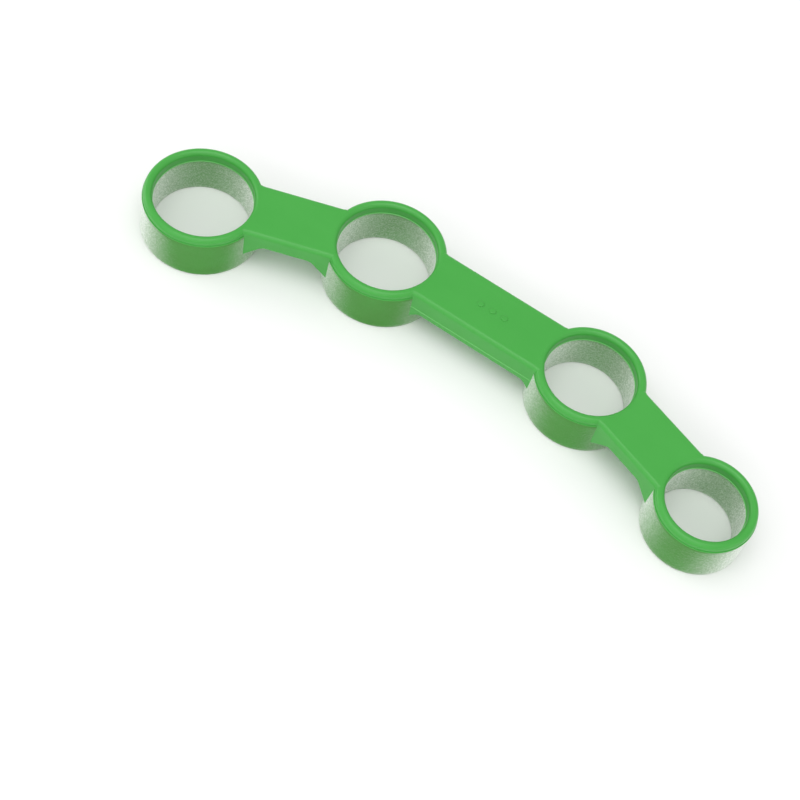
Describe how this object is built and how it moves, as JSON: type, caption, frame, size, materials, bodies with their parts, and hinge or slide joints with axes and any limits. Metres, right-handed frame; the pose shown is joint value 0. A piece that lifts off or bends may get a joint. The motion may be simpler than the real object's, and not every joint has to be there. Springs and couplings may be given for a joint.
{
  "type": "finger exerciser",
  "caption": "Row of finger rings of graded size tied by short flat-topped bars, worn over the fingertips to spread and strengthen the fingers.",
  "frame": {"origin": "under the middle of the whole part's outline, on the plane of the rings' lower edges", "axes": "+Z along the rings' axes towards the rounded rims and the bars' flat tops; +X from the index ring to the little ring, along the long bar; +Y towards the fingertip side of the row's arc"},
  "size_m": [0.1508, 0.041, 0.0118],
  "materials": {
    "green_ring": "satin rounded rim, fine spark-grained walls",
    "green_bar": "smooth satin",
    "green_mark": "smooth satin, raised"
  },
  "bodies": {
    "middle_section": {"middle_finger_ring": "green_ring", "index_middle_bar": "green_bar", "middle_ring_bar": "green_bar", "size_pips": "green_mark"},
    "index_section": {"index_finger_ring": "green_ring"},
    "ring_section": {"ring_finger_ring": "green_ring", "ring_little_bar": "green_bar"},
    "little_section": {"little_finger_ring": "green_ring"}
  },
  "joints": [
    {"name": "index_bar_flex", "type": "hinge", "parent": "middle_section", "child": "index_section", "pos_m": [-0.04226, 0, 0.00955], "axis": [-0.3338, 0.9426, 0], "range_deg": [-5, 5], "stiffness_Nm_per_rad": 9, "deforming": ["index_middle_bar"]},
    {"name": "long_bar_flex", "type": "hinge", "parent": "middle_section", "child": "ring_section", "pos_m": [0.004, 0.00696, 0.0085], "axis": [0, -1, 0], "range_deg": [-5, 5], "stiffness_Nm_per_rad": 16, "deforming": ["middle_ring_bar", "size_pips"]},
    {"name": "little_bar_flex", "type": "hinge", "parent": "ring_section", "child": "little_section", "pos_m": [0.04742, 0.00082, 0.00955], "axis": [-0.3256, -0.9455, 0], "range_deg": [-5, 5], "stiffness_Nm_per_rad": 9, "deforming": ["ring_little_bar"]}
  ]
}
